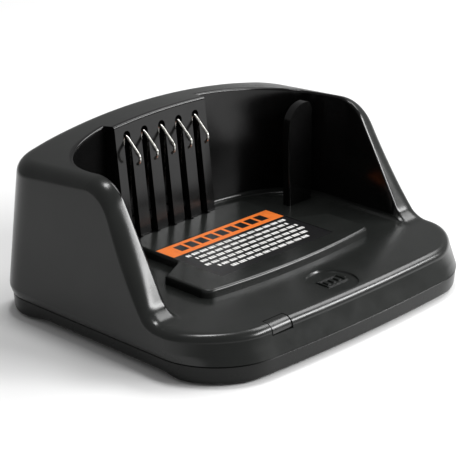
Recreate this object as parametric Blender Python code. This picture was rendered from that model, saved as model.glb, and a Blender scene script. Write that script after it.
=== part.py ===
"""Drop-in charging cradle for a hand-held two-way radio.

Metres, +Z up. The origin is the centre of the footprint on the surface the cradle stands on, and the
front, where the low shelf is, faces -Y. Every visible object is one piece of the assembly.
"""

import math

import bmesh
import bpy

MM = 0.001
GAP = 0.3 * MM
SEAT_GAP = 0.1 * MM

# Plan outline at the parting line between the two housings.
HALF_WIDTH = 62.7 * MM
HALF_DEPTH = 50.3 * MM
OUTLINE_Y = -0.45 * MM
BOW = 3.1 * MM
FRONT_CORNER = 22.4 * MM
BACK_CORNER = 13.0 * MM
PARTING_Z = 6.2 * MM

# Upper housing shell.
WALL = 2.2 * MM
SKIRT_Z = 9.2 * MM
SKIRT_FLARE = 0.9 * MM
SIDE_DRAFT = math.tan(math.radians(5.5))
FRONT_SLOPE = math.tan(math.radians(24.6))
EDGE_ROUND = 2.8 * MM
LIP = 0.6 * MM
FLOOR_FILLET = 1.0 * MM
RIM_CROWN_Z = 57.3 * MM
RIM_ARCH = 1.9
RIM_FALL = 0.07
RIM_CENTRE_Y = 10.5 * MM
SHELF_Z = 15.1 * MM

# Side profile: the rim drops to the shelf along a straight slope with a large round at each end.
SLOPE_Y = -10.1 * MM
SLOPE_Z = 33.0 * MM
SLOPE_ANGLE = math.radians(58.8)
SIDE_TOP_Z = 51.7 * MM
SLOPE_TOP_ROUND = 13.0 * MM
SLOPE_FOOT_ROUND = 8.0 * MM

# Radio pocket.
POCKET_HALF = 53.7 * MM
POCKET_ARC_Y = 9.5 * MM
POCKET_ARC_DEPTH = 26.8 * MM
POCKET_POWER = 2.7
POCKET_DRAFT = 0.8 * MM
SHELF_ARC_Y = -20.0 * MM
SHELF_ARC_DEPTH = 22.0 * MM
SHELF_POWER = 4.0

# Contact wall, a flat face that stands a little proud of the pocket's curved back.
BLOCK_LEFT = -26.7 * MM
BLOCK_RIGHT = 14.5 * MM
BLOCK_FOOT_Y = 25.9 * MM
BLOCK_LEAN = math.tan(math.radians(7.2))
BLOCK_CAVITY = (-24.3 * MM, 12.1 * MM)
BLOCK_CAVITY_BACK = 36.2 * MM
BLOCK_RIM_Y = 31.0 * MM
BLOCK_STEP = 0.8 * MM
SLOT_COUNT = 5
SLOT_PITCH = 7.62 * MM
SLOT_FIRST_X = -21.4 * MM
SLOT_WIDTH = 3.0 * MM
SLOT_TOP_Z = 52.2 * MM
SLOT_FOOT_Z = 17.2 * MM
SLOT_CUT = (24.6 * MM, 34.0 * MM)

# Raised rest pad, guide rib, recesses.
PAD_Z = 17.8 * MM
PAD_HALF = 38.0 * MM
SUNK_Z = SHELF_Z - 0.8 * MM
RIB_LEFT = 38.5 * MM
RIB_RIGHT = 49.9 * MM
RIB_TOP_Z = 49.7 * MM
RIB_FRONT_Y = 14.8 * MM
RIB_THICK = 2.8 * MM
RIB_LEAN = 0.03
RIB_SHOULDER = 8.0 * MM
RIB_EDGE = 2.5 * MM
WEB_X = (48.6 * MM, 49.7 * MM)
WEB_TOP_Z = 46.0 * MM
EMBLEM_Y = -37.2 * MM
EMBLEM_RADIUS = 8.2 * MM
PIPE_X = -33.5 * MM
PIPE_WIDTH = 8.0 * MM
LABEL_SIZE = (51.4 * MM, 29.2 * MM)
LABEL_CENTRE = (-0.4 * MM, -1.0 * MM)
LABEL_THICK = 0.2 * MM
LABEL_SEAT = 0.35 * MM

# Lower housing and feet.
BASE_Z = 1.8 * MM
BASE_FLOOR_Z = 3.5 * MM
FOOT_DROP = 1.4 * MM
TONGUE_Z = 8.2 * MM
TONGUE_INSET = 2.6 * MM
TONGUE_INSET_FRONT = 3.5 * MM
FOOT_PLACES = ((-50.0, -35.5), (50.0, -35.5), (-53.0, 37.0), (53.0, 37.0))
FOOT_RADIUS = 4.5 * MM

# Board and what stands on it.
BOARD_Z = 6.3 * MM
BOARD_THICK = 1.6 * MM
BOARD_TOP = BOARD_Z + BOARD_THICK
BOARD_HALF = 38.0 * MM
BOARD_FRONT = -28.0 * MM
BOARD_BACK = 43.5 * MM
HOUSING_SCREWS = ((-44.0, -30.0), (44.0, -30.0), (-44.0, 24.0), (44.0, 24.0))
BOARD_SCREWS = ((-32.0, -22.0), (32.0, -22.0), (-33.0, 34.0), (22.0, 30.0))
JACK_X = 34.5 * MM
JACK_WIDTH = 9.0 * MM
JACK_FRONT = 49.4 * MM
JACK_AXIS_Z = 13.0 * MM
JACK_PIN_TIP = 44.8 * MM
JACK_BORE_END = 41.4 * MM

# Contact springs: bent round wire, each turning about its root in the carrier.
WIRE_RADIUS = 0.55 * MM
SPRING_ROOT_Y = 32.6 * MM
SPRING_ROOT_Z = 11.0 * MM
CARRIER_LEFT = -23.8 * MM
CARRIER_RIGHT = 11.6 * MM
CARRIER_DEPTH = (30.2 * MM, 35.7 * MM)
CARRIER_TOP = 20.0 * MM
RETAINER_SCREW_Z = 10.9 * MM


def clear_scene():
    for obj in list(bpy.data.objects):
        bpy.data.objects.remove(obj)


def material(name, colour, roughness, metallic=0.0):
    """A Principled BSDF with one colour."""
    made = bpy.data.materials.new(name)
    made.use_nodes = True
    shader = made.node_tree.nodes["Principled BSDF"]
    shader.inputs["Base Color"].default_value = (*colour, 1.0)
    shader.inputs["Roughness"].default_value = roughness
    shader.inputs["Metallic"].default_value = metallic
    made.diffuse_color = (*colour, 1.0)
    return made


def add_object(name, mesh_data, finish=None):
    obj = bpy.data.objects.new(name, mesh_data)
    bpy.context.scene.collection.objects.link(obj)
    if finish is not None:
        mesh_data.materials.append(finish)
    return obj


def mesh_from(name, bm):
    """Closes the bmesh into a mesh whose faces point outwards."""
    bmesh.ops.recalc_face_normals(bm, faces=bm.faces[:])
    mesh = bpy.data.meshes.new(name)
    bm.to_mesh(mesh)
    bm.free()
    return mesh


def smooth(obj, angle=35.0):
    obj.data.shade_smooth()
    obj.data.set_sharp_from_angle(angle=math.radians(angle))
    return obj


def box(bm, x, y, z):
    """Adds a box given by its (low, high) along each axis."""
    corners = [bm.verts.new((a, b, c)) for a in x for b in y for c in z]
    for face in ((0, 1, 3, 2), (4, 6, 7, 5), (0, 4, 5, 1), (2, 3, 7, 6), (0, 2, 6, 4), (1, 5, 7, 3)):
        bm.faces.new([corners[i] for i in face])


def prism(bm, outline, low, high, place):
    """Adds a polygon extruded from low to high. place turns (u, v, depth) into (x, y, z)."""
    near = [bm.verts.new(place(u, v, low)) for u, v in outline]
    far = [bm.verts.new(place(u, v, high)) for u, v in outline]
    bm.faces.new(near)
    bm.faces.new(far[::-1])
    for i in range(len(outline)):
        j = (i + 1) % len(outline)
        bm.faces.new((near[i], far[i], far[j], near[j]))


def turned(bm, profile, centre, sides=24, axis="Z"):
    """Adds a solid of revolution. profile is (radius, height) from one end to the other."""
    rings = []
    for radius, height in profile:
        ring = []
        for i in range(sides):
            turn = 2 * math.pi * i / sides
            a, b = radius * math.cos(turn), radius * math.sin(turn)
            offset = (a, b, height) if axis == "Z" else (a, height, b)
            ring.append(bm.verts.new([c + o for c, o in zip(centre, offset)]))
        rings.append(ring)
    bridge(bm, rings)


def bridge(bm, rings):
    """Joins rings of equal length into a closed tube and caps both ends."""
    count = len(rings[0])
    for lower, upper in zip(rings, rings[1:]):
        for i in range(count):
            j = (i + 1) % count
            bm.faces.new((lower[i], lower[j], upper[j], upper[i]))
    bm.faces.new(rings[0][::-1])
    bm.faces.new(rings[-1])


def arc(centre, radius, start, end, steps):
    """Points along a circular arc in (u, v), with angles in degrees."""
    points = []
    for i in range(steps + 1):
        turn = math.radians(start + (end - start) * i / steps)
        points.append((centre[0] + radius * math.cos(turn), centre[1] + radius * math.sin(turn)))
    return points


def boolean(obj, operation, bm, label):
    """Adds a Boolean modifier whose other object is the closed bmesh, kept as a hidden helper."""
    helper = add_object(f"{obj.name}_{label}", mesh_from(label, bm))
    helper.hide_render = True
    helper.display_type = "WIRE"
    modifier = obj.modifiers.new(label, "BOOLEAN")
    modifier.operation = operation
    modifier.solver = "EXACT"
    modifier.object = helper


def blend(low, high, value):
    """0 below low, 1 above high, and a smooth step between."""
    t = min(1.0, max(0.0, (value - low) / (high - low)))
    return t * t * (3 - 2 * t)


# ---------------------------------------------------------------- plan outlines and rim height


def outline_distance(x, y, inset):
    """Below zero inside the plan outline drawn that far inside the parting edge."""
    y -= OUTLINE_Y
    y += BOW * (x / HALF_WIDTH) ** 2 * y / HALF_DEPTH
    corner = max((FRONT_CORNER if y < 0 else BACK_CORNER) - inset, 2 * MM)
    over_x = abs(x) - (HALF_WIDTH - inset - corner)
    over_y = abs(y) - (HALF_DEPTH - inset - corner)
    return math.hypot(max(over_x, 0), max(over_y, 0)) + min(max(over_x, over_y), 0) - corner


def outline_point(origin, direction, inset):
    """Where the line through origin meets the outline at that inset, by bisection."""
    near, far = -20 * MM, HALF_WIDTH
    for _ in range(36):
        middle = (near + far) / 2
        x = origin[0] + direction[0] * middle
        y = origin[1] + direction[1] * middle
        if outline_distance(x, y, inset) < 0:
            near = middle
        else:
            far = middle
    return origin[0] + direction[0] * near, origin[1] + direction[1] * near


def side_profile(y):
    """Height of the side rim at y, before the dome of the top is laid over it."""
    tangent = math.tan(SLOPE_ANGLE / 2)
    steep = math.tan(SLOPE_ANGLE)
    top_y = SLOPE_Y + (SIDE_TOP_Z - SLOPE_Z) / steep
    foot_y = SLOPE_Y + (SHELF_Z - SLOPE_Z) / steep
    top_end = top_y + SLOPE_TOP_ROUND * tangent
    foot_end = foot_y - SLOPE_FOOT_ROUND * tangent
    if y >= top_end:
        return SIDE_TOP_Z
    if y <= foot_end:
        return SHELF_Z
    if y > top_end - SLOPE_TOP_ROUND * math.sin(SLOPE_ANGLE):
        return SIDE_TOP_Z - SLOPE_TOP_ROUND + math.sqrt(SLOPE_TOP_ROUND**2 - (top_end - y) ** 2)
    if y < foot_end + SLOPE_FOOT_ROUND * math.sin(SLOPE_ANGLE):
        return SHELF_Z + SLOPE_FOOT_ROUND - math.sqrt(SLOPE_FOOT_ROUND**2 - (y - foot_end) ** 2)
    return SLOPE_Z + (y - SLOPE_Y) * steep


def rim_height(x, y):
    """Height of the rim's top surface: a shallow dome that follows the side profile down to the shelf."""
    dome = RIM_CROWN_Z - RIM_ARCH * x * x - RIM_FALL * (y - RIM_CENTRE_Y)
    share = (side_profile(y) - SHELF_Z) / (SIDE_TOP_Z - SHELF_Z)
    return SHELF_Z + (dome - SHELF_Z) * share


def rim_slope(x, y):
    step = 0.2 * MM
    return (rim_height(x, y + step) - rim_height(x, y - step)) / (2 * step)


def block_face(z):
    """The contact wall's front face at height z."""
    return BLOCK_FOOT_Y + (z - SHELF_Z) * BLOCK_LEAN


class Station:
    """One upright section of the housings: a ray in plan, and where the pocket's wall crosses it."""

    def __init__(self, direction, edge, block_x=None):
        self.direction = direction
        self.edge = edge
        self.foot = pulled_in(edge, direction, POCKET_DRAFT)
        self.rim = edge
        self.floor = self.foot
        if block_x is not None:
            self.rim = (block_x, block_face(rim_height(block_x, BLOCK_RIM_Y)))
            self.floor = (block_x, block_face(SHELF_Z))
        self.frontness = blend(26 * MM, 46 * MM, -outline_point(edge, direction, 0.0)[1])

    def outer(self, inset, z):
        x, y = outline_point(self.edge, self.direction, inset)
        return x, y, z

    def behind(self, point, z):
        """The pocket wall's hidden side at z: the point moved outwards by the wall's thickness."""
        return point[0] + self.direction[0] * WALL, point[1] + self.direction[1] * WALL, z

    def wall_inset(self, z):
        """How far the drafted outer wall stands inside the parting edge at height z."""
        side = -SKIRT_FLARE + (z - SKIRT_Z) * SIDE_DRAFT
        front = (z - PARTING_Z) * FRONT_SLOPE
        return side + (front - side) * self.frontness


def pocket_arc_points(steps):
    """Back edge of the pocket at the rim, right to left, with points on both edges of the contact wall."""
    points = []
    for i in range(steps + 1):
        turn = math.pi * i / steps
        x = math.copysign(abs(math.cos(turn)) ** (2 / POCKET_POWER), math.cos(turn)) * POCKET_HALF
        points.append(x)
    clear = 1.6 * MM
    points = [x for x in points if abs(x - BLOCK_LEFT) > clear and abs(x - BLOCK_RIGHT) > clear]
    half = BLOCK_STEP / 2
    points += [BLOCK_LEFT - half, BLOCK_LEFT + half, BLOCK_RIGHT - half, BLOCK_RIGHT + half]
    return sorted(points, reverse=True)


def arc_depth(x):
    share = min(1.0, abs(x) / POCKET_HALF)
    return POCKET_ARC_Y + POCKET_ARC_DEPTH * (1 - share**POCKET_POWER) ** (1 / POCKET_POWER)


def fanned(x):
    """Plan direction of the section through the pocket's arc at x: square to the back wall in the middle,
    turning to face sideways where the arc meets the side wall."""
    turn = math.pi / 2 * min(1.0, abs(x) / POCKET_HALF) ** 3
    return math.copysign(math.sin(turn), x), math.cos(turn)


def pulled_in(point, direction, amount):
    return point[0] - direction[0] * amount, point[1] - direction[1] * amount


def back_stations(steps):
    """Sections round the back of the pocket, from its right side to its left side."""
    stations = []
    for x in pocket_arc_points(steps):
        on_block = BLOCK_LEFT < x < BLOCK_RIGHT
        stations.append(Station(fanned(x), (x, arc_depth(x)), x if on_block else None))
    return stations


def side_stations(side, steps):
    """Sections along one side wall, from the pocket's arc to the shelf."""
    stations = []
    for i in range(1, steps):
        y = POCKET_ARC_Y + (SHELF_ARC_Y - POCKET_ARC_Y) * i / steps
        direction = (side, 0.0)
        edge = (side * POCKET_HALF, y)
        stations.append(Station(direction, edge))
    return stations


def shelf_stations(steps):
    """Sections round the front, from the left side wall to the right one."""
    centre = (0.0, SHELF_ARC_Y)
    stations = []
    for i in range(steps + 1):
        turn = math.pi * (1 + i / steps)
        direction = (math.cos(turn), math.sin(turn))
        across = abs(direction[0] / POCKET_HALF) ** SHELF_POWER
        along = abs(direction[1] / SHELF_ARC_DEPTH) ** SHELF_POWER
        reach = (across + along) ** (-1 / SHELF_POWER)
        edge = (centre[0] + direction[0] * reach, centre[1] + direction[1] * reach)
        stations.append(Station(direction, edge))
    return stations


def all_stations():
    """Every section, counter-clockwise seen from above, starting at the right side of the pocket's arc."""
    left = side_stations(-1.0, 15)
    right = side_stations(1.0, 15)[::-1]
    return back_stations(34) + left + shelf_stations(34) + right


# ---------------------------------------------------------------- housings


def upper_section(station):
    """The upper housing's cut face at one station, from the parting edge over the rim to the pocket."""
    bottom = PARTING_Z + GAP / 2
    points = [station.outer(0.0, bottom), station.outer(station.wall_inset(SKIRT_Z), SKIRT_Z)]

    x, y, _ = station.outer(EDGE_ROUND, 0.0)
    base = station.wall_inset(rim_height(x, y) - EDGE_ROUND)
    for angle in (0, 30, 60, 90):
        turn = math.radians(angle)
        x, y, _ = station.outer(base + EDGE_ROUND * (1 - math.cos(turn)), 0.0)
        points.append((x, y, rim_height(x, y) - EDGE_ROUND * (1 - math.sin(turn))))

    rim_x, rim_y = station.rim
    top = rim_height(rim_x, rim_y)
    wall_height = top - SHELF_Z
    lip_x, lip_y = pulled_in(station.rim, station.direction, -LIP)
    points.append((lip_x, lip_y, rim_height(lip_x, lip_y)))
    points.append((rim_x, rim_y, top - min(LIP, 0.3 * wall_height)))

    floor_x, floor_y = station.floor
    points.append((floor_x, floor_y, SHELF_Z + min(FLOOR_FILLET, 0.3 * wall_height)))
    inner = pulled_in(station.floor, station.direction, FLOOR_FILLET)
    points.append((*inner, SHELF_Z))
    return points


def under_section(station):
    """The upper housing's hidden side at one station, from the parting edge to below the shelf."""
    bottom = PARTING_Z + GAP / 2
    points = [station.outer(WALL, bottom), station.outer(station.wall_inset(SKIRT_Z) + WALL, SKIRT_Z)]

    x, y, _ = station.outer(EDGE_ROUND, 0.0)
    base = station.wall_inset(rim_height(x, y) - EDGE_ROUND) + WALL
    corner = 0.6 * MM
    for inset, drop in ((base, corner), (base + corner, 0.0)):
        x, y, _ = station.outer(inset, 0.0)
        points.append((x, y, ceiling(x, y) - drop))

    rim_x, rim_y, _ = station.behind(station.edge, 0.0)
    points.append((rim_x, rim_y, ceiling(rim_x, rim_y)))
    points.append(station.behind(station.foot, SHELF_Z - WALL))
    return points


def ceiling(x, y):
    """Underside of the rim: a wall's thickness below the top surface, measured square to it."""
    drop = WALL * math.sqrt(1 + rim_slope(x, y) ** 2)
    return max(rim_height(x, y) - drop, SHELF_Z - WALL)


def make_upper_housing(finish):
    bm = bmesh.new()
    stations = all_stations()
    sections = [under_section(s)[::-1] + upper_section(s) for s in stations]
    rings = [[bm.verts.new(section[i]) for section in sections] for i in range(len(sections[0]))]
    bridge(bm, rings)
    upper = add_object("upper_housing", mesh_from("upper_housing", bm), finish)

    added = bmesh.new()
    add_rest_pad(added)
    add_guide_rib(added)
    for x, y in HOUSING_SCREWS:
        turned(added, ((3.6 * MM, 6.6 * MM), (3.6 * MM, SHELF_Z - 1.0 * MM)), (x * MM, y * MM, 0.0), 16)
    boolean(upper, "UNION", added, "added")

    web = bmesh.new()
    add_rib_web(web)
    boolean(upper, "UNION", web, "web")

    cut = bmesh.new()
    add_slots(cut)
    add_recesses(cut)
    for x, y in HOUSING_SCREWS:
        turned(cut, ((1.7 * MM, 6.0 * MM), (1.7 * MM, 13.2 * MM)), (x * MM, y * MM, 0.0), 12)
    boolean(upper, "DIFFERENCE", cut, "cut")

    hollow = bmesh.new()
    add_spring_space(hollow)
    boolean(upper, "DIFFERENCE", hollow, "hollow")
    return smooth(upper)


def add_rest_pad(bm):
    """The raised pad that the radio stands on: wide in front, narrower towards the contact wall."""
    front = []
    for i in range(9):
        x = -36.3 * MM + 72.6 * MM * i / 8
        front.append((x, -23.8 * MM + 3.0 * MM * (x / PAD_HALF) ** 2))
    right = [(PAD_HALF, -18.7 * MM), (PAD_HALF, -2.5 * MM), (27.1 * MM, 2.8 * MM), (27.1 * MM, 27.0 * MM)]
    left = [(-x, y) for x, y in reversed(right)]
    prism(bm, front + right + left, SUNK_Z, PAD_Z, lambda u, v, d: (u, v, d))


def add_guide_rib(bm):
    """The upright rib beside the contact wall, with a round shoulder on its inner side."""
    outline = [(RIB_RIGHT, SUNK_Z)]
    outline += arc((RIB_RIGHT - RIB_EDGE, RIB_TOP_Z - RIB_EDGE), RIB_EDGE, 0, 90, 3)
    outline += arc((RIB_LEFT + RIB_SHOULDER, RIB_TOP_Z - RIB_SHOULDER), RIB_SHOULDER, 90, 180, 6)
    outline += [(RIB_LEFT, SUNK_Z)]
    prism(bm, outline, 0, RIB_THICK, lambda u, v, d: (u, RIB_FRONT_Y + (v - SHELF_Z) * RIB_LEAN + d, v))


def add_rib_web(bm):
    """The web that ties the rib to the pocket's wall behind it."""
    front = RIB_FRONT_Y + RIB_THICK / 2
    back = arc_depth(WEB_X[0]) + 0.8 * MM
    outline = [(front, SUNK_Z), (back, SUNK_Z), (back, WEB_TOP_Z), (front + RIB_LEAN * WEB_TOP_Z, WEB_TOP_Z)]
    prism(bm, outline, *WEB_X, lambda u, v, d: (d, u, v))


def slot_places():
    return [SLOT_FIRST_X + SLOT_PITCH * i for i in range(SLOT_COUNT)]


def add_slots(bm):
    """Tall slots through the contact wall, each with a round top."""
    half = SLOT_WIDTH / 2
    for x in slot_places():
        outline = [(x - half, SLOT_FOOT_Z), (x + half, SLOT_FOOT_Z)]
        outline += arc((x, SLOT_TOP_Z - half), half, 0, 180, 6)
        prism(bm, outline, *SLOT_CUT, lambda u, v, d: (u, d, v))


def add_spring_space(bm):
    """The space behind the contact wall where the springs stand, open below."""
    top, foot = SLOT_TOP_Z + 0.4 * MM, 10 * MM
    hollow = [
        (block_face(foot) + WALL, foot),
        (block_face(top) + WALL, top),
        (BLOCK_CAVITY_BACK, top),
        (BLOCK_CAVITY_BACK, foot),
    ]
    prism(bm, hollow, *BLOCK_CAVITY, lambda u, v, d: (d, u, v))


def add_recesses(bm):
    """Shallow seats for the emblem and the label, and the openings for the light pipe and the power jack."""
    depth = 0.5 * MM
    top = SHELF_Z + 1.0 * MM
    turned(bm, ((EMBLEM_RADIUS, SHELF_Z - depth), (EMBLEM_RADIUS, top)), (0.0, EMBLEM_Y, 0.0), 32)
    x, y = LABEL_CENTRE
    half_x, half_y = LABEL_SIZE[0] / 2 + GAP, LABEL_SIZE[1] / 2 + GAP
    box(bm, (x - half_x, x + half_x), (y - half_y, y + half_y), (PAD_Z - LABEL_SEAT, PAD_Z + 1 * MM))
    half_pipe = PIPE_WIDTH / 2 + GAP
    box(bm, (PIPE_X - half_pipe, PIPE_X + half_pipe), (-52 * MM, -42.9 * MM), (11.8 * MM, 17 * MM))
    half_jack = JACK_WIDTH / 2 + GAP
    box(bm, (JACK_X - half_jack, JACK_X + half_jack), (44 * MM, 54 * MM), (4 * MM, 18.9 * MM))


def foot_bulge(x, y):
    """1 under the four corners, where the lower housing swells into a foot, and 0 elsewhere."""
    return blend(41 * MM, 47 * MM, abs(x)) * blend(26 * MM, 33 * MM, abs(y))


def lower_section(station):
    """The lower housing's cut face at one station, from its inner floor over the wall and down below."""
    tongue = TONGUE_INSET + (TONGUE_INSET_FRONT - TONGUE_INSET) * station.frontness
    top = PARTING_Z - GAP / 2
    points = [
        station.outer(tongue + 1.6 * MM, BASE_FLOOR_Z),
        station.outer(tongue + 1.3 * MM, TONGUE_Z),
        station.outer(tongue, TONGUE_Z),
        station.outer(tongue, top),
        station.outer(0.15 * MM, top),
    ]
    for inset, lift in ((0.9, 1.0), (1.3, 0.3), (2.1, 0.0), (13.5, 0.0)):
        x, y, _ = station.outer(inset * MM, 0.0)
        points.append((x, y, BASE_Z - FOOT_DROP * foot_bulge(x, y) + lift * MM))
    points.append(station.outer(17 * MM, BASE_Z))
    return points


def make_lower_housing(finish):
    bm = bmesh.new()
    sections = [lower_section(s) for s in all_stations()]
    rings = [[bm.verts.new(section[i]) for section in sections] for i in range(len(sections[0]))]
    bridge(bm, rings)
    lower = add_object("lower_housing", mesh_from("lower_housing", bm), finish)

    added = bmesh.new()
    for x, y in HOUSING_SCREWS:
        turned(added, ((4.2 * MM, 3.0 * MM), (4.2 * MM, 6.2 * MM)), (x * MM, y * MM, 0.0), 16)
    for x, y in BOARD_SCREWS:
        turned(added, ((2.8 * MM, 3.0 * MM), (2.8 * MM, BOARD_Z - GAP)), (x * MM, y * MM, 0.0), 16)
    boolean(lower, "UNION", added, "added")

    cut = bmesh.new()
    for x, y in HOUSING_SCREWS:
        bore = ((3.3 * MM, 0.0), (3.3 * MM, 4.2 * MM), (1.8 * MM, 4.2 * MM), (1.8 * MM, 7 * MM))
        turned(cut, bore, (x * MM, y * MM, 0.0), 16)
    for x, y in BOARD_SCREWS:
        turned(cut, ((1.3 * MM, 3.2 * MM), (1.3 * MM, 7 * MM)), (x * MM, y * MM, 0.0), 12)
    for x, y in FOOT_PLACES:
        seat = FOOT_RADIUS + GAP
        turned(cut, ((seat, -1.0 * MM), (seat, 1.7 * MM)), (x * MM, y * MM, 0.0), 24)
    half_jack = JACK_WIDTH / 2 + GAP
    box(cut, (JACK_X - half_jack, JACK_X + half_jack), (43 * MM, 54 * MM), (PARTING_Z - GAP / 2, 10 * MM))
    boolean(lower, "DIFFERENCE", cut, "cut")
    return smooth(lower)


def make_feet(finish):
    """Soft pads pressed into the seats under the four corners."""
    for index, (x, y) in enumerate(FOOT_PLACES, 1):
        bm = bmesh.new()
        edge = 0.3 * MM
        profile = ((FOOT_RADIUS - edge, 0.0), (FOOT_RADIUS, edge), (FOOT_RADIUS, 1.4 * MM))
        turned(bm, profile, (x * MM, y * MM, 0.0), 24)
        smooth(add_object(f"foot_pad_{index}", mesh_from("foot_pad", bm), finish))


# ---------------------------------------------------------------- contacts


def spring_path():
    """Side view of one spring as (y, z): up from its root, over the top of the slot, down to the contact
    point and back towards the slot."""
    return (
        (32.6, 10.0),
        (32.6, 16.0),
        (32.4, 32.0),
        (32.2, 48.0),
        (31.9, 49.6),
        (31.1, 50.5),
        (30.2, 50.2),
        (27.6, 47.9),
        (25.2, 45.7),
        (24.7, 44.9),
        (24.6, 43.9),
        (25.0, 43.0),
        (26.2, 42.1),
        (28.4, 41.2),
    )


def make_spring(index, x, finish):
    """One bent wire, with its origin on the axis it turns about."""
    curve = bpy.data.curves.new(f"contact_spring_{index}", "CURVE")
    curve.dimensions = "3D"
    curve.bevel_depth = WIRE_RADIUS
    curve.bevel_resolution = 2
    curve.use_fill_caps = True
    spline = curve.splines.new("POLY")
    path = spring_path()
    spline.points.add(len(path) - 1)
    for point, (y, z) in zip(spline.points, path):
        point.co = (0.0, y * MM - SPRING_ROOT_Y, z * MM - SPRING_ROOT_Z, 1.0)
    obj = add_object(f"contact_spring_{index}", curve, finish)
    obj.location = (x, SPRING_ROOT_Y, SPRING_ROOT_Z)


def make_carrier(finish):
    """Moulded block on the board with one open channel for each spring's root."""
    bm = bmesh.new()
    box(bm, (CARRIER_LEFT, CARRIER_RIGHT), CARRIER_DEPTH, (BOARD_TOP + SEAT_GAP, CARRIER_TOP))
    carrier = add_object("contact_carrier", mesh_from("contact_carrier", bm), finish)
    cut = bmesh.new()
    half = 0.95 * MM
    for x in slot_places():
        box(cut, (x - half, x + half), (29 * MM, 34.5 * MM), (9.5 * MM, 21 * MM))
    for x in retainer_screw_places():
        turned(cut, ((1.1 * MM, 29 * MM), (1.1 * MM, 35 * MM)), (x, 0.0, RETAINER_SCREW_Z), 12, "Y")
    boolean(carrier, "DIFFERENCE", cut, "cut")


def retainer_screw_places():
    """Midway between the first two springs and between the last two."""
    places = slot_places()
    return (places[0] + places[1]) / 2, (places[-2] + places[-1]) / 2


def make_retainer(finish, screw_finish):
    """Strip across the front of the carrier that keeps the roots in their channels, and its two screws."""
    bm = bmesh.new()
    box(bm, (CARRIER_LEFT + 1 * MM, CARRIER_RIGHT - 1 * MM), (28.7 * MM, 29.9 * MM), (8.6 * MM, 12.6 * MM))
    strip = add_object("contact_retainer", mesh_from("contact_retainer", bm), finish)
    cut = bmesh.new()
    for x in retainer_screw_places():
        turned(cut, ((1.1 * MM, 28 * MM), (1.1 * MM, 31 * MM)), (x, 0.0, RETAINER_SCREW_Z), 12, "Y")
    boolean(strip, "DIFFERENCE", cut, "cut")
    for index, x in enumerate(retainer_screw_places(), 1):
        head, shank = 1.6 * MM, 0.8 * MM
        profile = ((head, 27.2 * MM), (head, 28.4 * MM), (shank, 28.4 * MM), (shank, 34.4 * MM))
        screw(f"retainer_screw_{index}", profile, (x, 0.0, RETAINER_SCREW_Z), screw_finish, "Y")


def screw(name, profile, centre, finish, axis="Z"):
    """A screw from its head to its tip, with a plain shank and a cross recess in the head."""
    bm = bmesh.new()
    turned(bm, profile, centre, 16, axis)
    obj = add_object(name, mesh_from("screw", bm), finish)
    cut = bmesh.new()
    reach, half = profile[0][0] * 0.6, 0.3 * MM
    inward = math.copysign(1.0, profile[-1][1] - profile[0][1])
    depth = (profile[0][1] - inward * MM, profile[0][1] + inward * 0.6 * MM)
    for a, b in ((reach, half), (half, reach * 0.999)):
        across = (centre[0] - a, centre[0] + a)
        if axis == "Z":
            along = (centre[1] - b, centre[1] + b)
            box(cut, across, along, tuple(sorted(depth)))
        else:
            box(cut, across, tuple(sorted(depth)), (centre[2] - b, centre[2] + b))
    boolean(obj, "DIFFERENCE", cut, "recess")
    obj.modifiers["recess"].use_self = True
    return smooth(obj)


# ---------------------------------------------------------------- board, jack and light pipe


def make_board(finish):
    bm = bmesh.new()
    chamfer = 6 * MM
    outline = (
        (-BOARD_HALF, BOARD_FRONT),
        (BOARD_HALF, BOARD_FRONT),
        (BOARD_HALF, BOARD_BACK - chamfer),
        (BOARD_HALF - chamfer, BOARD_BACK),
        (-BOARD_HALF + chamfer, BOARD_BACK),
        (-BOARD_HALF, BOARD_BACK - chamfer),
    )
    prism(bm, outline, BOARD_Z, BOARD_TOP, lambda u, v, d: (u, v, d))
    board = add_object("circuit_board", mesh_from("circuit_board", bm), finish)
    cut = bmesh.new()
    for x, y in BOARD_SCREWS:
        turned(cut, ((1.5 * MM, 5 * MM), (1.5 * MM, 9 * MM)), (x * MM, y * MM, 0.0), 12)
    boolean(board, "DIFFERENCE", cut, "cut")


def make_screws(finish):
    for index, (x, y) in enumerate(HOUSING_SCREWS, 1):
        profile = ((2.8 * MM, 2.0 * MM), (2.8 * MM, 3.9 * MM), (1.35 * MM, 3.9 * MM), (1.35 * MM, 12.4 * MM))
        screw(f"housing_screw_{index}", profile, (x * MM, y * MM, 0.0), finish)
    for index, (x, y) in enumerate(BOARD_SCREWS, 1):
        head = BOARD_TOP + 0.2 * MM
        profile = ((2.2 * MM, head + 1.5 * MM), (2.2 * MM, head), (1.0 * MM, head), (1.0 * MM, 4.0 * MM))
        screw(f"board_screw_{index}", profile, (x * MM, y * MM, 0.0), finish)


def make_jack(finish):
    """Power inlet: a moulded body behind a face plate, with a round socket and a centre pin."""
    bm = bmesh.new()
    outline = (
        (39.4 * MM, BOARD_TOP + SEAT_GAP),
        (46.6 * MM, BOARD_TOP + SEAT_GAP),
        (46.6 * MM, PARTING_Z + 0.2 * MM),
        (JACK_FRONT, PARTING_Z + 0.2 * MM),
        (JACK_FRONT, 18.6 * MM),
        (39.4 * MM, 18.6 * MM),
    )
    half = JACK_WIDTH / 2
    prism(bm, outline, JACK_X - half, JACK_X + half, lambda u, v, d: (d, u, v))
    jack = add_object("dc_jack", mesh_from("dc_jack", bm), finish)
    cut = bmesh.new()
    socket, pin = 3.2 * MM, 1.0 * MM
    profile = (
        (0.0, JACK_PIN_TIP),
        (pin, JACK_PIN_TIP),
        (pin, JACK_BORE_END),
        (socket, JACK_BORE_END),
        (socket, JACK_FRONT + 1 * MM),
        (0.0, JACK_FRONT + 1 * MM),
    )
    lathe(cut, profile, (JACK_X, 0.0, JACK_AXIS_Z))
    boolean(jack, "DIFFERENCE", cut, "socket")
    smooth(jack)


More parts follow.
